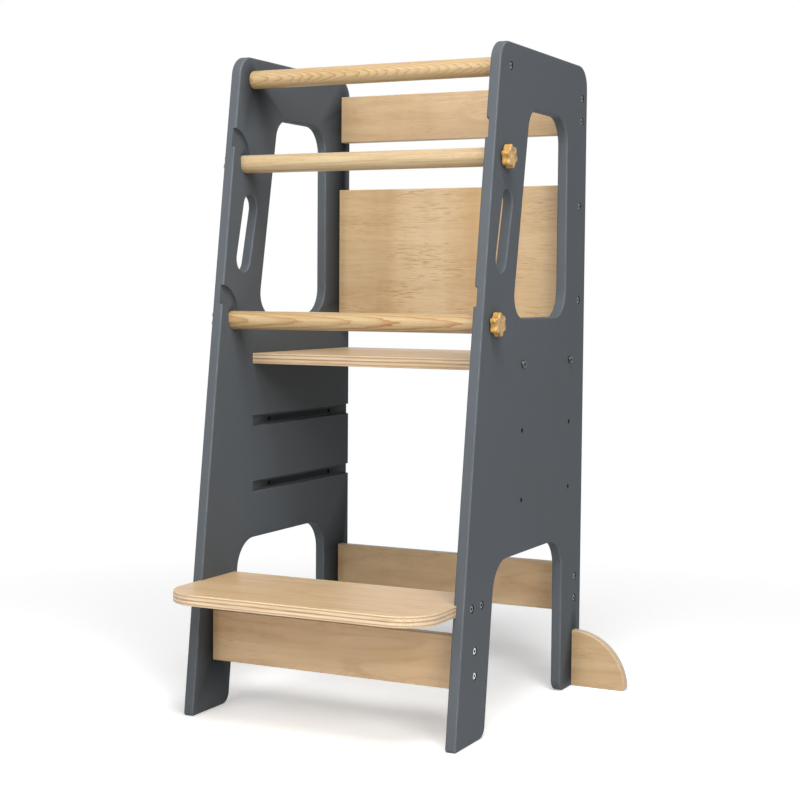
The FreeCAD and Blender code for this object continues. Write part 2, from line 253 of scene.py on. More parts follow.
def noise(tree, vector, stretch, detail=2.0, rough=0.5, swirl=0.0):
    # Noise with "stretch" patches to the metre along each axis.
    mapped = put(tree, "ShaderNodeMapping", {"Vector": vector, "Scale": stretch})
    inputs = {"Vector": mapped.outputs[0], "Scale": 1.0, "Detail": detail, "Roughness": rough,
              "Distortion": swirl}
    return put(tree, "ShaderNodeTexNoise", inputs).outputs["Fac"]


def newGroup(name, inputs, outputs):
    tree = bpy.data.node_groups.new(name, "ShaderNodeTree")
    kinds = {"colour": "NodeSocketColor", "number": "NodeSocketFloat", "vector": "NodeSocketVector"}
    for socketName, kind in inputs.items():
        tree.interface.new_socket(socketName, in_out="INPUT", socket_type=kinds[kind])
    for socketName, kind in outputs.items():
        tree.interface.new_socket(socketName, in_out="OUTPUT", socket_type=kinds[kind])
    given = tree.nodes.new("NodeGroupInput")
    result = tree.nodes.new("NodeGroupOutput")
    return tree, given.outputs, result


def useGroup(tree, group, inputs):
    return put(tree, "ShaderNodeGroup", inputs, node_tree=group).outputs


def newMaterial(name):
    material = bpy.data.materials.new(name)
    material.use_nodes = True
    tree = material.node_tree
    tree.nodes.clear()
    shader = put(tree, "ShaderNodeBsdfPrincipled")
    output = put(tree, "ShaderNodeOutputMaterial")
    tree.links.new(shader.outputs[0], output.inputs["Surface"])
    coords = put(tree, "ShaderNodeTexCoord")
    return material, tree, shader, coords


def rgb(red, green, blue):
    return (red, green, blue, 1.0)


def finishShader(tree, shader, sheen, height, finish):
    # "gloss" holds the two roughnesses between which the sheen noise moves.
    tree.links.new(spread(tree, sheen, 0.3, 0.7, *finish["gloss"]), shader.inputs["Roughness"])
    inputs = {"Height": height, "Distance": finish["bumpDepth"], "Strength": finish["bumpStrength"]}
    tree.links.new(put(tree, "ShaderNodeBump", inputs).outputs[0], shader.inputs["Normal"])
    for key, value in finish["inputs"].items():
        shader.inputs[key].default_value = value


# ---- shared effects ----
# "lineCount" is in radians of the slow noise, "pairs" counts pale and cross-grain layers together, and
# "glueAt" is a share of such a pair. "rise" makes a ring darken later.
# The ripple tint darkens bands across the grain for a painted sheen.
veneerValues = {"lineCount": 95.0, "streakShare": 0.30, "paintedSheenTint": rgb(0.76, 0.66, 0.50)}
layerValues = {"wobble": 0.03, "pairs": 3.0, "glueAt": 0.17, "glueShare": 0.4}
flameValues = {"ripple": 0.0024, "rise": 2.2, "streakHeight": 0.4, "ringHeight": 0.3}


def makeVeneerGroup():
    # Rotary-cut birch: bands, wavy growth lines, streaks and short dark strokes along X, and ripples across,
    # which are painted sheen: darker bands standing in for the figure's chatoyance.
    inputs = {"Vector": "vector", "Pale": "colour", "Mid": "colour", "Deep": "colour",
              "Bands": "number", "Lines": "number", "Strokes": "number", "Ripples": "number"}
    tree, given, result = newGroup("veneerGrain", inputs, {"Color": "colour", "Height": "number"})
    vector = given["Vector"]
    slow = noise(tree, vector, (1.5, 10.0, 10.0), 2.0, 0.5, 0.5)
    bands = noise(tree, vector, (3.0, 46.0, 46.0), 3.0, 0.55, 0.3)
    streaks = noise(tree, vector, (7.0, 240.0, 240.0), 3.0, 0.6, 0.2)
    strokes = noise(tree, vector, (55.0, 850.0, 850.0), 2.0, 0.5)
    clusters = noise(tree, vector, (9.0, 24.0, 24.0), 3.0, 0.6)
    mottle = noise(tree, vector, (26.0, 30.0, 30.0), 2.0, 0.5)
    ripples = noise(tree, vector, (9.0, 1.6, 1.6), 3.0, 0.5, 0.3)
    waves = calc(tree, "SINE", times(tree, slow, veneerValues["lineCount"]))
    lines = spread(tree, waves, 0.1, 1.0)
    clusterShare = spread(tree, clusters, 0.42, 0.62, 0.25, 1.0)
    strokeMask = times(tree, spread(tree, strokes, 0.54, 0.64), clusterShare)
    bandShare = times(tree, spread(tree, bands, 0.34, 0.66), given["Bands"])
    colour = blendColours(tree, bandShare, given["Pale"], given["Mid"])
    streakShare = times(tree, spread(tree, streaks, 0.42, 0.72), veneerValues["streakShare"])
    colour = blendColours(tree, streakShare, colour, given["Mid"])
    lineShare = times(tree, times(tree, lines, given["Lines"]), spread(tree, mottle, 0.35, 0.65, 0.35, 1.0))
    colour = blendColours(tree, lineShare, colour, given["Deep"])
    # Painted sheen: the ripples darken broad bands across the grain, in place of the figure's chatoyance.
    rippleShare = times(tree, spread(tree, ripples, 0.38, 0.66), given["Ripples"])
    colour = blendColours(tree, rippleShare, colour, veneerValues["paintedSheenTint"], "MULTIPLY")
    strokeShare = times(tree, strokeMask, given["Strokes"])
    colour = blendColours(tree, strokeShare, colour, given["Deep"])
    tree.links.new(colour, result.inputs["Color"])
    height = calc(tree, "SUBTRACT", times(tree, streaks, 0.5), strokeMask)
    tree.links.new(height, result.inputs["Height"])
    return tree


def makePlyEdgeGroup():
    # Cut plywood: seven layers, pale long-grain ones and darker cross-grain ones, with thin glue lines.
    inputs = {"Vector": "vector", "Across": "number", "Pale": "colour", "Mid": "colour", "Deep": "colour"}
    tree, given, result = newGroup("plyEdge", inputs, {"Color": "colour", "Height": "number"})
    wobble = noise(tree, given["Vector"], (9.0, 9.0, 9.0), 2.0)
    wobble = times(tree, calc(tree, "SUBTRACT", wobble, 0.5), layerValues["wobble"])
    across = calc(tree, "ADD", given["Across"], wobble)
    within = calc(tree, "FRACT", times(tree, across, layerValues["pairs"]))
    fromMiddle = calc(tree, "ABSOLUTE", calc(tree, "SUBTRACT", within, 0.5))
    crossLayer = spread(tree, fromMiddle, 0.13, 0.19, 1.0, 0.0)
    fromGlue = calc(tree, "ABSOLUTE", calc(tree, "SUBTRACT", fromMiddle, layerValues["glueAt"]))
    glue = spread(tree, fromGlue, 0.0, 0.04, 1.0, 0.0)
    fromCore = calc(tree, "ABSOLUTE", calc(tree, "SUBTRACT", across, 0.5))
    core = spread(tree, fromCore, 0.05, 0.09, 1.0, 0.0)
    streaks = noise(tree, given["Vector"], (14.0, 520.0, 520.0), 3.0, 0.6)
    speckle = noise(tree, given["Vector"], (500.0, 700.0, 700.0), 2.0)
    voids = noise(tree, given["Vector"], (30.0, 160.0, 160.0), 2.0)
    pale = blendColours(tree, spread(tree, streaks, 0.35, 0.75), given["Pale"], given["Mid"])
    cross = blendColours(tree, spread(tree, speckle, 0.35, 0.7, 0.2, 0.75), given["Mid"], given["Deep"])
    colour = blendColours(tree, crossLayer, pale, cross)
    coreShare = times(tree, core, spread(tree, voids, 0.45, 0.62, 0.3, 0.95))
    colour = blendColours(tree, coreShare, colour, given["Deep"])
    glueShare = times(tree, glue, layerValues["glueShare"])
    colour = blendColours(tree, glueShare, colour, given["Deep"])
    tree.links.new(colour, result.inputs["Color"])
    height = calc(tree, "SUBTRACT", times(tree, speckle, crossLayer), glue)
    tree.links.new(height, result.inputs["Height"])
    return tree


def makeFlameGroup():
    # Turned beech: growth rings about a far axis. They lean and wander, so long pointed flames show.
    inputs = {"Vector": "vector", "Pale": "colour", "Mid": "colour", "Deep": "colour", "Flames": "number",
              "Rings": "number", "Lean": "number", "Wander": "number"}
    tree, given, result = newGroup("flameGrain", inputs, {"Color": "colour", "Height": "number"})
    vector = given["Vector"]
    bend = noise(tree, vector, (4.5, 5.0, 5.0), 2.0, 0.4)
    ripple = noise(tree, vector, (40.0, 240.0, 240.0), 3.0, 0.55)
    parts = put(tree, "ShaderNodeSeparateXYZ", {"Vector": vector})
    bend = times(tree, bend, given["Wander"])
    wander = calc(tree, "ADD", bend, times(tree, ripple, flameValues["ripple"]))
    lean = times(tree, parts.outputs["X"], given["Lean"])
    depth = calc(tree, "ADD", calc(tree, "ADD", parts.outputs["Y"], wander), lean)
    aside = parts.outputs["Z"]
    square = calc(tree, "ADD", times(tree, depth, depth), times(tree, aside, aside))
    within = calc(tree, "FRACT", times(tree, calc(tree, "SQRT", square), given["Rings"]))
    # A ring darkens slowly and ends sharply.
    ring = calc(tree, "POWER", spread(tree, within, 0.35, 0.92), flameValues["rise"])
    ring = times(tree, ring, spread(tree, within, 0.94, 1.0, 1.0, 0.0))
    streaks = noise(tree, vector, (9.0, 480.0, 480.0), 3.0, 0.6)
    flecks = noise(tree, vector, (130.0, 1300.0, 1300.0), 2.0)
    patches = noise(tree, vector, (7.0, 30.0, 30.0), 2.0)
    strength = times(tree, times(tree, ring, given["Flames"]), spread(tree, patches, 0.35, 0.6, 0.55, 1.0))
    colour = blendColours(tree, spread(tree, streaks, 0.4, 0.7, 0.0, 0.7), given["Pale"], given["Mid"])
    colour = blendColours(tree, strength, colour, given["Deep"])
    colour = blendColours(tree, spread(tree, flecks, 0.60, 0.72, 0.0, 0.3), colour, given["Deep"])
    tree.links.new(colour, result.inputs["Color"])
    ringHeight = times(tree, ring, flameValues["ringHeight"])
    height = calc(tree, "SUBTRACT", times(tree, streaks, flameValues["streakHeight"]), ringHeight)
    tree.links.new(height, result.inputs["Height"])
    return tree


veneerGroup = makeVeneerGroup()
plyEdgeGroup = makePlyEdgeGroup()
flameGroup = makeFlameGroup()
print("shader groups built")


# ---- materials ----
finishes = {
    "ply": {"gloss": (0.42, 0.54), "bumpDepth": 0.00005, "bumpStrength": 0.5,
            "inputs": {"Coat Weight": 0.12, "Coat Roughness": 0.30}},
    "rail": {"gloss": (0.38, 0.50), "bumpDepth": 0.00005, "bumpStrength": 0.5,
             "inputs": {"Coat Weight": 0.30, "Coat Roughness": 0.30}},
    "paint": {"gloss": (0.46, 0.55), "bumpDepth": 0.00006, "bumpStrength": 0.35,
              "inputs": {"Specular IOR Level": 0.025}},
    "knob": {"gloss": (0.18, 0.28), "bumpDepth": 0.00003, "bumpStrength": 0.4,
             "inputs": {"Specular IOR Level": 0.35}},
    "steel": {"gloss": (0.14, 0.28), "bumpDepth": 0.00001, "bumpStrength": 0.3,
              "inputs": {"Metallic": 1.0}},
}
plyLayers = 7
# A near-black tone for the painted shade at the bottom of the sockets.
paintedSocketShade = rgb(0.02, 0.02, 0.02)


def makePlyMaterial(name, values, low, thickness, axis):
    # Varnished birch plywood: veneer on the faces, layers where the normal leaves the thickness axis.
    material, tree, shader, coords = newMaterial(name)
    shift = {"Vector": coords.outputs["Object"], "Location": values["shift"]}
    place = put(tree, "ShaderNodeMapping", shift).outputs[0]
    names = ("Pale", "Mid", "Deep", "Bands", "Lines", "Strokes", "Ripples")
    face = useGroup(tree, veneerGroup, {"Vector": place, **{name: values[name.lower()] for name in names}})
    spot = put(tree, "ShaderNodeSeparateXYZ", {"Vector": coords.outputs["Object"]}).outputs[axis]
    across = calc(tree, "DIVIDE", calc(tree, "SUBTRACT", spot, low), thickness)
    layers = useGroup(tree, plyEdgeGroup, {"Vector": place, "Across": across, "Pale": values["layerPale"],
                                           "Mid": values["mid"], "Deep": values["layerDeep"]})
    facing = put(tree, "ShaderNodeSeparateXYZ", {"Vector": coords.outputs["Normal"]}).outputs[axis]
    edge = spread(tree, calc(tree, "ABSOLUTE", facing), 0.55, 0.85, 1.0, 0.0)
    colour = blendColours(tree, edge, face["Color"], layers["Color"])
    tree.links.new(colour, shader.inputs["Base Color"])
    height = put(tree, "ShaderNodeMix", {0: edge, 2: face["Height"], 3: layers["Height"]}).outputs[0]
    sheen = noise(tree, place, (40.0, 90.0, 90.0), 2.0)
    finishShader(tree, shader, sheen, height, finishes["ply"])
    return material


def makeRailMaterial(name, values, centre):
    material, tree, shader, coords = newMaterial(name)
    shift = {"Vector": coords.outputs["Object"], "Location": Vector(values["ringCentre"]) - centre}
    place = put(tree, "ShaderNodeMapping", shift).outputs[0]
    names = ("Pale", "Mid", "Deep", "Flames", "Rings", "Lean", "Wander")
    grain = useGroup(tree, flameGroup, {"Vector": place, **{name: values[name.lower()] for name in names}})
    facing = put(tree, "ShaderNodeSeparateXYZ", {"Vector": coords.outputs["Normal"]}).outputs["X"]
    endGrain = spread(tree, calc(tree, "ABSOLUTE", facing), 0.5, 0.8, 0.0, 0.45)
    colour = blendColours(tree, endGrain, grain["Color"], values["deep"])
    tree.links.new(colour, shader.inputs["Base Color"])
    sheen = noise(tree, place, (30.0, 120.0, 120.0), 2.0)
    finishShader(tree, shader, sheen, grain["Height"], finishes["rail"])
    return material


def makePaintMaterial(name, values, low, thickness):
    # Satin paint on plywood: fine orange peel, a trace of the grain, and paler arrises, partly rubbed wear
    # and partly a painted highlight where the edges catch the light.
    material, tree, shader, coords = newMaterial(name)
    place = coords.outputs["Object"]
    spot = put(tree, "ShaderNodeSeparateXYZ", {"Vector": place}).outputs["X"]
    facing = put(tree, "ShaderNodeSeparateXYZ", {"Vector": coords.outputs["Normal"]}).outputs["X"]
    flatness = calc(tree, "ABSOLUTE", facing)
    arris = times(tree, spread(tree, flatness, 0.15, 0.5), spread(tree, flatness, 0.75, 0.97, 1.0, 0.0))
    clouds = noise(tree, place, (5.0, 5.0, 5.0), 3.0)
    grain = noise(tree, place, (160.0, 160.0, 6.0), 3.0, 0.6)
    peel = noise(tree, place, (700.0, 700.0, 700.0), 2.0)
    wearAndHighlightNoise = noise(tree, place, (60.0, 60.0, 60.0), 3.0)
    colour = blendColours(tree, spread(tree, clouds, 0.3, 0.7), values["dark"], values["light"])
    colour = blendColours(tree, spread(tree, grain, 0.45, 0.75, 0.0, 0.25), colour, values["grain"])
    # Paler arrises: partly wear, partly a painted highlight of light caught on the rounded edges.
    wearAndHighlight = times(tree, arris, spread(tree, wearAndHighlightNoise, 0.35, 0.7, 0.15, 0.6))
    colour = blendColours(tree, wearAndHighlight, colour, values["arris"])
    # Painted shade: the hole walls turn near black.
    paintedHoleShade = put(tree, "ShaderNodeAttribute", attribute_name="paintedHoleShade").outputs["Fac"]
    colour = blendColours(tree, paintedHoleShade, colour, values["hole"])
    tree.links.new(colour, shader.inputs["Base Color"])
    # On the cut edges the layers show faintly through the paint.
    waves = 2 * math.pi * plyLayers / thickness
    layer = calc(tree, "SINE", times(tree, calc(tree, "SUBTRACT", spot, low), waves))
    edge = spread(tree, flatness, 0.1, 0.3, 1.0, 0.0)
    telegraph = times(tree, times(tree, layer, edge), 0.35)
    height = calc(tree, "ADD", calc(tree, "ADD", times(tree, peel, 0.6), grain), telegraph)
    finishShader(tree, shader, clouds, height, finishes["paint"])
    return material


def makeKnobMaterial(name, values):
    # Moulded plastic with a wood-like marbling.
    material, tree, shader, coords = newMaterial(name)
    place = coords.outputs["Object"]
    clouds = noise(tree, place, (150.0, 90.0, 150.0), 2.0)
    marbling = noise(tree, place, (420.0, 260.0, 90.0), 3.0, 0.65, 1.5)
    pores = noise(tree, place, (1500.0, 1500.0, 1500.0), 2.0)
    colour = blendColours(tree, spread(tree, clouds, 0.3, 0.7), values["dark"], values["light"])
    colour = blendColours(tree, spread(tree, marbling, 0.50, 0.60, 0.0, 0.75), colour, values["vein"])
    tree.links.new(colour, shader.inputs["Base Color"])
    finishShader(tree, shader, clouds, pores, finishes["knob"])
    return material


def makeSteelMaterial(name, values):
    # Zinc-plated steel with a dull bloom and fine turning marks, with painted shade at the bottom of the
    # sockets.
    material, tree, shader, coords = newMaterial(name)
    place = coords.outputs["Object"]
    bloom = noise(tree, place, (300.0, 300.0, 300.0), 3.0)
    sunk = put(tree, "ShaderNodeAttribute", attribute_name="sunk").outputs["Fac"]
    marks = noise(tree, place, (9000.0, 400.0, 400.0), 2.0)
    colour = blendColours(tree, spread(tree, bloom, 0.3, 0.7), values["dark"], values["light"])
    # Painted shade darkens the bottom of the sockets.
    colour = blendColours(tree, sunk, colour, paintedSocketShade)
    tree.links.new(colour, shader.inputs["Base Color"])
    finishShader(tree, shader, bloom, marks, finishes["steel"])
    return material


woodTones = {
    "pale": rgb(0.59, 0.425, 0.25),
    "mid": rgb(0.49, 0.325, 0.168),
    "deep": rgb(0.33, 0.175, 0.072),
    "layerPale": rgb(0.68, 0.56, 0.40),
    "layerDeep": rgb(0.33, 0.20, 0.10),
    "bands": 0.75,
    "lines": 0.28,
    "strokes": 0.4,
    "ripples": 0.25,
    "shade": 1.0,
    "shift": (0.0, 0.0, 0.0),
}
railTones = {
    "pale": rgb(0.44, 0.325, 0.170),
    "mid": rgb(0.36, 0.215, 0.075),
    "deep": rgb(0.27, 0.100, 0.010),
}
paintTones = {
    "dark": rgb(0.085, 0.095, 0.105),
    "light": rgb(0.096, 0.107, 0.118),
    "grain": rgb(0.079, 0.088, 0.097),
    # The arris tone is paler paint on the rounded edges, partly wear and partly a painted highlight.
    "arris": rgb(0.155, 0.171, 0.184),
    # The hole tone is a painted shade, near black, for the walls of the holes.
    "hole": rgb(0.010, 0.011, 0.012),
}
knobTones = {
    "dark": rgb(0.42, 0.23, 0.060),
    "light": rgb(0.60, 0.37, 0.115),
    "vein": rgb(0.21, 0.100, 0.020),
}
# The front board screws get a paler copy of the zinc steel, a painted reflection; the platform bolts get a
# darker copy.
steelTones = {
    "zincSteel": {"dark": rgb(0.13, 0.133, 0.137), "light": rgb(0.30, 0.30, 0.295)},
    "paintedReflectionSteel": {"dark": rgb(0.62, 0.63, 0.64), "light": rgb(0.80, 0.80, 0.79)},
    "darkSteel": {"dark": rgb(0.055, 0.057, 0.060), "light": rgb(0.12, 0.12, 0.12)},
}
knobMaterial = makeKnobMaterial("knobPlastic", knobTones)
steels = {name: makeSteelMaterial(name, tones) for name, tones in steelTones.items()}
print("materials built")

# ---- side panels ----
panelValues = {
    "easing": 0.0007,           # rounding on both sides of each eased edge
    "grooveShare": 0.45,        # share of it along the grooves
    "rimShare": 0.3,            # share of it round the holes
    "easingSteps": 2,
    "roundSides": 40,
    "pocketRadius": 0.0056,     # round pocket of a sunk screw
    "pocketDepth": 0.0048,
    "boltHole": 0.00315,
    "studHole": 0.0043,
    "levelDrops": (0.0, 0.089, 0.183),      # from the bolts to the holes of each platform level
    "overshoot": 0.001,
    "rimReach": 0.0003,         # edges this near a hole's wall belong to the hole
    "wallReach": 0.00005,
}
outsideScrews = ["top_rail_screws", "top_slat_screws", "backrest_screws", "bottom_board_screws",
                 "front_board_screws", "step_screws"]


def panelHoles(side):
    # Every hole of one panel: (place, radius, start, end), with start and end along X.
    low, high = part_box("side_panel_right")
    inner, outer = low.x, high.x
    past = panelValues["overshoot"]
    pocket, deep = panelValues["pocketRadius"], panelValues["pocketDepth"]
    holes = []
    for node in outsideScrews:
        for box in partBoxes(node):
            place = middleOf(box)
            if place.x * side > 0:
                holes.append((place, pocket, outer - deep, outer + past))
    for box in partBoxes("stabiliser_screws"):
        place = middleOf(box)
        if place.x * side > 0:
            holes.append((place, pocket, inner - past, inner + deep))
    for box in partBoxes("platform_bolts"):
        place = middleOf(box)
        if place.x * side > 0:
            for drop in panelValues["levelDrops"]:
                spot = place - Vector((0, 0, drop))
                holes.append((spot, panelValues["boltHole"], inner - past, outer + past))
    sideName = "right" if side > 0 else "left"
    for rail in ("middle", "lower"):
        place = middleOf(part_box("knob_stud_" + rail + "_" + sideName))
        holes.append((place, panelValues["studHole"], inner - past, outer + past))
    return holes


def inHole(place, holes, reach):
    return any(math.hypot(place.y - middle.y, place.z - middle.z) < radius + reach
               for middle, radius, start, end in holes)


def makeSidePanel(sideName):
    side = 1 if sideName == "right" else -1
    node = "side_panel_" + sideName
    piece = copyOfNode(node, "sidePanel" + sideName.capitalize())
    holes = panelHoles(side)
    bars = []
    for place, radius, start, end in holes:
        bars.append(addBar(radius, panelValues["roundSides"], side * start, side * end, place))
    cutter = joinPieces(bars, "panelCutter")
    cutAway(piece, cutter)
    form = openMesh(piece, "EDGE")
    weights = form.edges.layers.float.new("bevel_weight_edge")
    faces = [abs(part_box(node)[0].x), abs(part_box(node)[1].x)]
    for edge in form.edges:
        angle = faceAngle(edge)
        middle = (edge.verts[0].co + edge.verts[1].co) / 2
        if angle < chamferAngle:
            continue
        onFace = min(abs(abs(middle.x) - spot) for spot in faces) < shapeValues["hair"]
        if inHole(middle, holes, panelValues["rimReach"]):
            edge[weights] = panelValues["rimShare"] if onFace else 0.0
        elif angle < squareAngle:
            edge[weights] = 1.0
        elif onFace:
            edge[weights] = panelValues["grooveShare"]
    bmesh.update_edit_mesh(piece.data)
    bpy.ops.object.mode_set(mode="OBJECT")
    rounding = piece.modifiers.new("rounding", "BEVEL")
    rounding.limit_method = "WEIGHT"
    rounding.width = panelValues["easing"]
    rounding.segments = panelValues["easingSteps"]
    rounding.use_clamp_overlap = False
    bpy.ops.object.modifier_apply(modifier=rounding.name)
    # Concave faces are split, because their triangles would cross the arch.
    openMesh(piece, "FACE")
    bpy.ops.mesh.select_all(action="SELECT")
    bpy.ops.mesh.vert_connect_concave()
    bpy.ops.object.mode_set(mode="OBJECT")
    smoothPiece(piece)
    # The walls of the bored holes are marked for a painted shade, which turns the paint near black in them.
    paintedHoleShade = piece.data.attributes.new("paintedHoleShade", "FLOAT", "POINT")
    for corner in piece.data.vertices:
        if inHole(corner.co, holes, panelValues["wallReach"]):
            paintedHoleShade.data[corner.index].value = 1.0
    low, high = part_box(node)
    material = makePaintMaterial(piece.name + "Paint", paintTones, low.x, high.x - low.x)
    finishPiece(piece, material, "tower", [node])


for sideName in ("left", "right"):
    makeSidePanel(sideName)
    print("side panel", sideName)

# ---- boards, step and platform ----
boardValues = {
    "easing": 0.0014,
    "easingSteps": 4,
    "pieces": {
        "topBackSlat": {"node": "top_back_slat", "axis": 1, "shift": (0.3, 0.1, 0.2), "lines": 0.22,
                         "ripples": 0.6, "bands": 0.5, "shade": 0.84},
        "backrestPanel": {"node": "backrest_panel", "axis": 1, "shift": (1.1, 0.4, 0.7), "lines": 0.20,
                          "strokes": 1.0, "ripples": 1.0, "bands": 0.25, "pale": rgb(0.66, 0.50, 0.31),
                          "deep": rgb(0.45, 0.26, 0.105), "shade": 0.96},
        "bottomBackBoard": {"node": "bottom_back_board", "axis": 1, "shift": (2.7, 0.2, 0.4)},
        "frontBoard": {"node": "front_board", "axis": 1, "shift": (3.9, 0.6, 1.3), "shade": 1.08},
        "platformBoard": {"node": "platform", "axis": 2, "shift": (5.2, 0.9, 0.3),
                          "pale": rgb(0.62, 0.475, 0.315)},
    },
}


def addBlock(node, name):
    low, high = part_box(node)
    bpy.ops.mesh.primitive_cube_add(size=1.0, location=(low + high) / 2, scale=high - low)
    return startPiece(name)


def plyFor(name, node, axis, changes):
    # "shade" makes one board paler or darker than the rest.
    low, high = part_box(node)
    tones = {**woodTones, **changes}
    for key in ("pale", "mid", "deep"):
        tones[key] = rgb(*(part * tones["shade"] for part in tones[key][:3]))
    return makePlyMaterial(name + "Ply", tones, low[axis], high[axis] - low[axis], axis)


for pieceName, facts in boardValues["pieces"].items():
    piece = addBlock(facts["node"], pieceName)
    roundEdges(piece, lambda edge: runsAlong(edge, 0), boardValues["easing"], boardValues["easingSteps"])
    smoothPiece(piece)
    changes = {key: facts[key] for key in facts if key not in ("node", "axis")}
    finishPiece(piece, plyFor(pieceName, facts["node"], facts["axis"], changes), "tower",
                [facts["node"]])
print("boards and platform")

stepValues = {
    "cornerRadius": 0.050,
    "cornerSteps": 18,
    "frontReach": 0.001,        # upright edges this near the front are its corners
    "easing": 0.0014,
    "easingSteps": 4,
    "tones": {"shift": (6.4, 0.3, 0.8), "lines": 0.22},
}


def makeStep():
    piece = addBlock("step_board", "stepBoard")
    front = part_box("step_board")[0].y + stepValues["frontReach"]
    roundEdges(piece, lambda edge: runsAlong(edge, 2) and edge.verts[0].co.y < front,
               stepValues["cornerRadius"], stepValues["cornerSteps"])
    roundEdges(piece, lambda edge: isSquare(edge) and not runsAlong(edge, 2),
               stepValues["easing"], stepValues["easingSteps"])
    smoothPiece(piece)
    finishPiece(piece, plyFor("stepBoard", "step_board", 2, stepValues["tones"]), "tower",
                ["step_board"])


makeStep()
print("step")

stabiliserValues = {
    "easing": 0.00045,
    "easingSteps": 2,
    "steepest": math.radians(65),   # chamfers turn by less than this
    "clear": 0.0005,                # nearer to the panel nothing is rounded
    "tones": {"left": {"shift": (8.0, 0.2, 0.1), "lines": 0.25, "shade": 0.9},
              "right": {"shift": (9.0, 0.5, 0.4), "lines": 0.25, "shade": 0.9}},
}


def makeStabiliser(sideName):
    node = "stabiliser_" + sideName
    piece = copyOfNode(node, "stabiliser" + sideName.capitalize())
    meeting = min(abs(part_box(node)[0].x), abs(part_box(node)[1].x))
    roundEdges(piece, lambda edge: chamferAngle < faceAngle(edge) < stabiliserValues["steepest"]
               and min(abs(end.co.x) for end in edge.verts) > meeting + stabiliserValues["clear"],
               stabiliserValues["easing"], stabiliserValues["easingSteps"])
    smoothPiece(piece)
    finishPiece(piece, plyFor(piece.name, node, 1, stabiliserValues["tones"][sideName]), "tower",
                [node])


for sideName in ("left", "right"):
    makeStabiliser(sideName)
print("stabilisers")

# ---- rails ----
railValues = {
    "sides": 96,
    "easing": 0.0012,
    "easingSteps": 3,
    "boreRadius": 0.00605,
    "boreDepth": 0.016,
    "pieces": {
        "topRail": {"node": "top_rail", "ringCentre": (0.10, 0.060, 0.006), "rings": 480.0, "lean": 0.13,
                    "flames": 0.8, "wander": 0.018},
        "middleRail": {"node": "middle_rail", "ringCentre": (0.33, 0.050, -0.014), "rings": 330.0,
                       "lean": 0.012, "flames": 0.35, "wander": 0.005, "pale": rgb(0.46, 0.36, 0.21)},
        "lowerRail": {"node": "lower_rail", "ringCentre": (0.71, 0.058, 0.001), "rings": 245.0, "lean": 0.05,
                      "flames": 1.0, "wander": 0.007},
    },
}


def makeRail(name, facts):
    low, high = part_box(facts["node"])
    radius = (high.z - low.z) / 2
    centre = (low + high) / 2
    addBar(radius, railValues["sides"], low.x, high.x, centre)
    piece = startPiece(name)
    roundEdges(piece, isSquare, railValues["easing"], railValues["easingSteps"])
    # Bore of the threaded sleeve in each end.
    for end in (-1, 1):
        pickParts(piece, "FACE", lambda face: face.normal.x * end > shapeValues["facing"])
        bpy.ops.mesh.inset(thickness=radius - railValues["easing"] - railValues["boreRadius"])
        bpy.ops.mesh.extrude_region_move(
            TRANSFORM_OT_translate={"value": (-end * railValues["boreDepth"], 0, 0)})
        bpy.ops.object.mode_set(mode="OBJECT")
    smoothPiece(piece)
    material = makeRailMaterial(name + "Beech", {**railTones, **facts}, centre)
    finishPiece(piece, material, "tower", [facts["node"]])


for pieceName, facts in railValues["pieces"].items():
    makeRail(pieceName, facts)
print("rails")

# ---- star knobs and studs ----
knobValues = {
    "points": 144,
    "lobes": 6,
    "tipRadius": 0.0157,
    "height": 0.0123,
    "collarRadius": 0.0075,
    "collarHeight": 0.0016,
    "lobeCircle": (0.0120, 0.0037),     # distance of a lobe's centre from the axis, and its radius
    "hollowCircle": 0.0190,             # distance of a hollow's centre
    "footEasing": (0.0012, 0.0018),     # how far the rounding reaches inwards and along
    "footSteps": 5,
    "topEasing": (0.0015, 0.0019),
    "topSteps": 10,
    "dish": [(0.0029, 0.0), (0.0042, 0.00020), (0.0066, 0.00055), (0.0105, 0.00075), (0.0145, 0.00080)],
    "turns": {"middle": 0.26, "lower": 0.13},   # how far each pair has been turned, in radians
    "smoothDegrees": 50,
}
studValues = {
    "pitch": 0.00125,
    "rootRadius": 0.0035,
    "crestRadius": 0.0040,
    "stepsPerTurn": 32,
    "sides": 48,
    "overlap": 0.0002,          # how deep the thread sits in its core
    "tipEasing": 0.0006,
    "tipSteps": 2,
    "smoothDegrees": 30,
}


def starShare(place):
    # How far the star reaches at this angle, as a share of the tips' radius. Its outline is a ring of
    # arcs that touch.
    half = math.pi / knobValues["lobes"]
    angle = abs((math.atan2(place.y, place.x) + half) % (2 * half) - half)
    lobeAt, lobeRadius = knobValues["lobeCircle"]
    hollowAt = knobValues["hollowCircle"]
    apart = Vector((hollowAt * math.cos(half) - lobeAt, hollowAt * math.sin(half)))
    touching = Vector((lobeAt, 0)) + apart.normalized() * lobeRadius
    if angle < math.atan2(touching.y, touching.x):
        reach = lobeAt * math.cos(angle) + math.sqrt(lobeRadius ** 2 - (lobeAt * math.sin(angle)) ** 2)
    else:
        hollowRadius = apart.length - lobeRadius
        away = half - angle
        reach = hollowAt * math.cos(away) - math.sqrt(hollowRadius ** 2 - (hollowAt * math.sin(away)) ** 2)
    return reach / knobValues["tipRadius"]


def knobProfile():
    # (distance in from the tips, height) of the rings over the foot, round the shoulder and into the dish.
    rings = []
    low, high = knobValues["collarHeight"], knobValues["height"]
    wide, tall = knobValues["footEasing"]
    for step in range(1, knobValues["footSteps"] + 1):
        angle = math.pi / 2 * step / knobValues["footSteps"]
        rings.append((wide * (1 - math.sin(angle)), low + tall * (1 - math.cos(angle))))
    wide, tall = knobValues["topEasing"]
    for step in range(knobValues["topSteps"] + 1):
        angle = math.pi / 2 * step / knobValues["topSteps"]
        rings.append((wide * (1 - math.cos(angle)), high - tall * (1 - math.sin(angle))))
    for inset, drop in knobValues["dish"]:
        rings.append((inset, high - drop))
    return rings


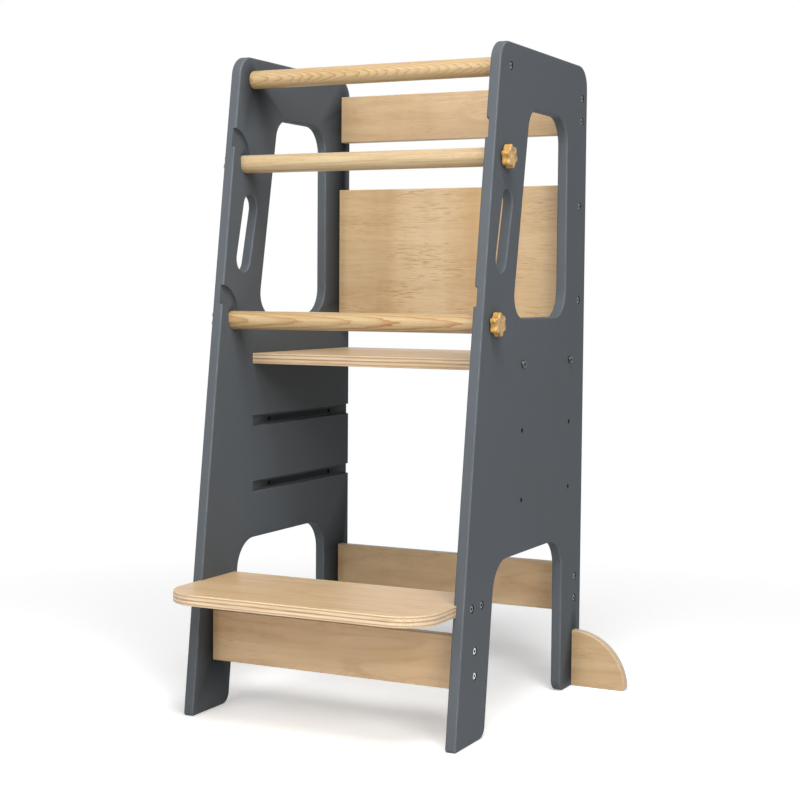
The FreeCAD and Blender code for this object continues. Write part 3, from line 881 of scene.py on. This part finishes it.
def makeKnob(railName, sideName):
    node = "star_knob_" + railName + "_" + sideName
    side = 1 if sideName == "right" else -1
    deselectAll()
    bpy.ops.mesh.primitive_circle_add(vertices=knobValues["points"], radius=knobValues["collarRadius"],
                                      fill_type="NGON")
    piece = startPiece("starKnob" + railName.capitalize() + sideName.capitalize())
    openMesh(piece, "FACE")
    bpy.ops.mesh.select_all(action="SELECT")
    bpy.ops.mesh.extrude_region_move(TRANSFORM_OT_translate={"value": (0, 0, knobValues["collarHeight"])})
    bpy.ops.mesh.extrude_region_move(TRANSFORM_OT_translate={"value": (0, 0, 0)})
    reached = knobValues["tipRadius"] - knobValues["footEasing"][0]
    level = knobValues["collarHeight"]
    grow = reached / knobValues["collarRadius"]
    bpy.ops.transform.resize(value=(grow, grow, 1.0))
    form = bmesh.from_edit_mesh(piece.data)
    for corner in form.verts:
        if corner.select:
            corner.co.xy *= starShare(corner.co)
    bmesh.update_edit_mesh(piece.data)
    for inset, height in knobProfile():
        stretch = (knobValues["tipRadius"] - inset) / reached
        rise = height - level
        bpy.ops.mesh.extrude_region_move(TRANSFORM_OT_translate={"value": (0, 0, rise)})
        bpy.ops.transform.resize(value=(stretch, stretch, 1.0))
        reached = knobValues["tipRadius"] - inset
        level = height
    bpy.ops.object.mode_set(mode="OBJECT")
    faceOutwards(piece)
    smoothPiece(piece, knobValues["smoothDegrees"])
    low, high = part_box(node)
    axis = middleOf(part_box("knob_stud_" + railName + "_" + sideName))
    foot = low.x if side > 0 else high.x
    # The knob stands up on its foot, and is then laid with its foot on the panel.
    turned = Matrix.Rotation(knobValues["turns"][railName], 4, "Z")
    laid = Matrix.Rotation(side * math.pi / 2, 4, "Y")
    piece.data.transform(Matrix.Translation((foot, axis.y, axis.z)) @ laid @ turned)
    finishPiece(piece, knobMaterial, railName + "_" + sideName + "_knob", [node])


def makeStud(railName, sideName):
    node = "knob_stud_" + railName + "_" + sideName
    low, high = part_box(node)
    centre = (low + high) / 2
    pitch = studValues["pitch"]
    root = studValues["rootRadius"]
    turns = int((high.x - low.x - 2 * pitch) / pitch)
    addBar(root, studValues["sides"], low.x, high.x, centre)
    core = startPiece("core")
    roundEdges(core, isSquare, studValues["tipEasing"], studValues["tipSteps"])
    # One tooth of the thread, swept round and along by a Screw modifier.
    bpy.ops.mesh.primitive_circle_add(vertices=3, radius=pitch / 2, fill_type="NOTHING")
    thread = startPiece("thread")
    form = openMesh(thread, "VERT")
    start = -turns * pitch / 2
    foot = root - studValues["overlap"]
    corners = [(start - pitch / 2, foot), (start, studValues["crestRadius"]), (start + pitch / 2, foot)]
    for corner, (along, out) in zip(form.verts, corners):
        corner.co = (along, 0, out)
    bmesh.update_edit_mesh(thread.data)
    bpy.ops.object.mode_set(mode="OBJECT")
    sweep = thread.modifiers.new("sweep", "SCREW")
    sweep.axis = "X"
    sweep.angle = 2 * math.pi
    sweep.screw_offset = pitch
    sweep.iterations = turns
    sweep.steps = studValues["stepsPerTurn"]
    sweep.render_steps = studValues["stepsPerTurn"]
    bpy.ops.object.modifier_apply(modifier=sweep.name)
    openMesh(thread, "EDGE")
    bpy.ops.mesh.select_non_manifold()
    bpy.ops.mesh.edge_face_add()
    bpy.ops.mesh.select_all(action="SELECT")
    bpy.ops.mesh.normals_make_consistent(inside=False)
    bpy.ops.object.mode_set(mode="OBJECT")
    thread.data.transform(Matrix.Translation(centre))
    piece = joinPieces([core, thread], "knobStud" + railName.capitalize() + sideName.capitalize())
    smoothPiece(piece, studValues["smoothDegrees"])
    finishPiece(piece, steels["zincSteel"], railName + "_" + sideName + "_stud", [node])


for railName in ("middle", "lower"):
    for sideName in ("left", "right"):
        makeKnob(railName, sideName)
        makeStud(railName, sideName)
print("knobs and studs")

# ---- screws and bolts ----
screwValues = {
    "headRadius": 0.0046,
    "headHeight": 0.0036,
    "rimEasing": 0.0006,
    "rimSteps": 3,
    "socketRadius": 0.00231,    # 4 mm hex key
    "socketDepth": 0.0024,
    "shankRadius": 0.0027,
    "sides": 48,
    "turnStep": 0.65,           # each is turned by this many radians more than the one before
}
boltValues = {**screwValues, "headRadius": 0.00525, "headHeight": 0.0032, "rimEasing": 0.0021, "rimSteps": 7,
              "shankRadius": 0.0029, "socketDepth": 0.0020}


def makeFastener(name, values, length):
    # Head up along Z, with the top of the head at the origin.
    deselectAll()
    height = values["headHeight"]
    bpy.ops.mesh.primitive_cylinder_add(vertices=values["sides"], radius=values["headRadius"], depth=height,
                                        location=(0, 0, -height / 2))
    piece = startPiece(name)
    roundEdges(piece, lambda edge: all(end.co.z > -shapeValues["hair"] for end in edge.verts),
               values["rimEasing"], values["rimSteps"])
    pickParts(piece, "FACE", lambda face: face.normal.z < -shapeValues["facing"])
    bpy.ops.mesh.inset(thickness=values["headRadius"] - values["shankRadius"])
    bpy.ops.mesh.extrude_region_move(TRANSFORM_OT_translate={"value": (0, 0, height - length)})
    bpy.ops.object.mode_set(mode="OBJECT")
    bpy.ops.mesh.primitive_cylinder_add(vertices=6, radius=values["socketRadius"],
                                        depth=2 * values["socketDepth"])
    cutAway(piece, startPiece("socketCutter"))
    smoothPiece(piece)
    # The bottom of the socket is marked for a painted shade that darkens it.
    sunk = piece.data.attributes.new("sunk", "FLOAT", "POINT")
    bottom = Vector((0, 0, -values["socketDepth"]))
    for corner in piece.data.vertices:
        if (corner.co - bottom).length < values["socketRadius"] + shapeValues["hair"]:
            sunk.data[corner.index].value = 1.0
    return piece


def placeFasteners(node, values, name, steel):
    # One copy of the fastener at each solid of the CAD node, each turned by its own angle.
    boxes = partBoxes(node)
    length = boxes[0][1].x - boxes[0][0].x
    pattern = makeFastener("pattern", values, length)
    copies = []
    for index, box in enumerate(boxes):
        centre = middleOf(box)
        headOut = 1 if centre.x > 0 else -1
        if node == "stabiliser_screws":
            headOut = -headOut
        headX = box[1].x if headOut > 0 else box[0].x
        turned = Matrix.Rotation(values["turnStep"] * index, 4, "Z")
        laid = Matrix.Rotation(headOut * math.pi / 2, 4, "Y")
        copy = bpy.data.objects.new("copy", pattern.data.copy())
        bpy.context.scene.collection.objects.link(copy)
        copy.data.transform(Matrix.Translation((headX, centre.y, centre.z)) @ laid @ turned)
        copies.append(copy)
    bpy.data.objects.remove(pattern)
    piece = joinPieces(copies, name)
    finishPiece(piece, steels[steel], "tower", [node])


fasteners = {
    "top_rail_screws": ("topRailScrews", screwValues, "zincSteel"),
    "top_slat_screws": ("topSlatScrews", screwValues, "zincSteel"),
    "backrest_screws": ("backrestScrews", screwValues, "zincSteel"),
    "bottom_board_screws": ("bottomBoardScrews", screwValues, "zincSteel"),
    # A paler copy of the zinc steel: a painted reflection.
    "front_board_screws": ("frontBoardScrews", screwValues, "paintedReflectionSteel"),
    "step_screws": ("stepScrews", screwValues, "zincSteel"),
    "stabiliser_screws": ("stabiliserScrews", screwValues, "zincSteel"),
    "platform_bolts": ("platformBolts", boltValues, "darkSteel"),
}
for node, (pieceName, values, steel) in fasteners.items():
    placeFasteners(node, values, pieceName, steel)
for node in ("middle_rail_inserts", "lower_rail_inserts", "platform_inserts"):
    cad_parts[node].data.materials.clear()
    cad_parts[node].data.materials.append(steels["zincSteel"])
print("screws and bolts")

# ---- floor, light and camera ----
floorValues = {
    "size": 16.0,
    "drop": 0.0001,             # how far it lies under the feet
    "dark": rgb(0.84, 0.84, 0.84),
    "light": rgb(0.86, 0.86, 0.86),
    "roughness": 0.7,
    "nearLift": 0.32,           # white that the camera sees on top of the lit floor
    "nearRadius": 0.45,         # within this the shadow shows in full
    "farRadius": 1.3,           # past this it is white to the camera
}
lightValues = {
    "topLight": {"place": (0.70, -1.1, 2.6), "aim": (0, 0, 0.4), "size": 1.1, "power": 60.0},
    "frontLight": {"place": (-0.35, -2.8, 1.9), "aim": (0, 0, 0.4), "size": 1.8, "power": 47.0},
    "sideLight": {"place": (2.2, -1.9, 1.8), "aim": (0, 0, 0.5), "size": 1.2, "power": 42.0},
}
worldValues = {"light": 0.10}
cameraValues = {
    "place": (1.0445, -2.0441, 0.5805),
    "turn": 0.46042,            # radians to the right of straight ahead
    "tilt": 0.06737,            # radians above the horizon
    "roll": 0.007217,
    "lens": 74.83,
    "sensor": 36.0,
    "reach": 100.0,
}


def seenDirectly(tree):
    # 1 for camera rays, and for the rays that mirror or pass the background on.
    path = put(tree, "ShaderNodeLightPath").outputs
    mirrored = calc(tree, "MAXIMUM", path["Is Glossy Ray"], path["Is Transmission Ray"])
    return calc(tree, "MAXIMUM", path["Is Camera Ray"], mirrored)


def makeFloor(values):
    deselectAll()
    bpy.ops.mesh.primitive_plane_add(size=values["size"], location=(0, 0, -values["drop"]))
    floor = startPiece("floor")
    material, tree, shader, coords = newMaterial("floorSheet")
    clouds = noise(tree, coords.outputs["Object"], (2.0, 2.0, 2.0), 2.0)
    tone = blendColours(tree, spread(tree, clouds, 0.3, 0.7), values["dark"], values["light"])
    tree.links.new(tone, shader.inputs["Base Color"])
    shader.inputs["Roughness"].default_value = values["roughness"]
    glow = put(tree, "ShaderNodeEmission", {"Color": rgb(1, 1, 1), "Strength": 1.0})
    away = put(tree, "ShaderNodeVectorMath", {0: coords.outputs["Object"]}, operation="LENGTH")
    far = spread(tree, away.outputs["Value"], values["nearRadius"], values["farRadius"])
    seen = seenDirectly(tree)
    share = times(tree, far, seen)
    nearStrength = times(tree, seen, values["nearLift"])
    lift = put(tree, "ShaderNodeEmission", {"Color": rgb(1, 1, 1), "Strength": nearStrength})
    near = put(tree, "ShaderNodeAddShader", {0: shader.outputs[0], 1: lift.outputs[0]})
    mixer = put(tree, "ShaderNodeMixShader", {0: share, 1: near.outputs[0], 2: glow.outputs[0]})
    output = next(node for node in tree.nodes if node.type == "OUTPUT_MATERIAL")
    tree.links.new(mixer.outputs[0], output.inputs["Surface"])
    floor.data.materials.append(material)


def makeWorld(values):
    world = bpy.data.worlds.new("studio")
    world.use_nodes = True
    bpy.context.scene.world = world
    tree = world.node_tree
    tree.nodes.clear()
    light = put(tree, "ShaderNodeBackground", {"Color": rgb(1, 1, 1), "Strength": values["light"]})
    white = put(tree, "ShaderNodeBackground", {"Color": rgb(1, 1, 1), "Strength": 1.0})
    inputs = {0: seenDirectly(tree), 1: light.outputs[0], 2: white.outputs[0]}
    mixer = put(tree, "ShaderNodeMixShader", inputs)
    output = put(tree, "ShaderNodeOutputWorld")
    tree.links.new(mixer.outputs[0], output.inputs["Surface"])


def makeLight(name, values):
    deselectAll()
    bpy.ops.object.light_add(type="AREA", location=values["place"])
    lamp = bpy.context.object
    lamp.name = name
    lamp.data.size = values["size"]
    lamp.data.energy = values["power"]
    direction = Vector(values["aim"]) - Vector(values["place"])
    lamp.rotation_euler = direction.to_track_quat("-Z", "Y").to_euler()


def makeCamera(values):
    turn, tilt, roll = values["turn"], values["tilt"], values["roll"]
    back = Vector((math.sin(turn) * math.cos(tilt), -math.cos(turn) * math.cos(tilt), math.sin(tilt)))
    right = Vector((math.cos(turn), math.sin(turn), 0))
    up = back.cross(right)
    rolledRight = right * math.cos(roll) + up * math.sin(roll)
    rolledUp = up * math.cos(roll) - right * math.sin(roll)
    deselectAll()
    bpy.ops.object.camera_add(location=values["place"])
    camera = bpy.context.object
    camera.rotation_euler = Matrix((rolledRight, rolledUp, back)).transposed().to_euler()
    camera.data.lens = values["lens"]
    camera.data.sensor_width = values["sensor"]
    camera.data.clip_end = values["reach"]
    bpy.context.scene.camera = camera


makeFloor(floorValues)
makeWorld(worldValues)
for lightName, facts in lightValues.items():
    makeLight(lightName, facts)
makeCamera(cameraValues)
bpy.context.scene.view_settings.view_transform = "Standard"
print("floor, light and camera")

deselectAll()
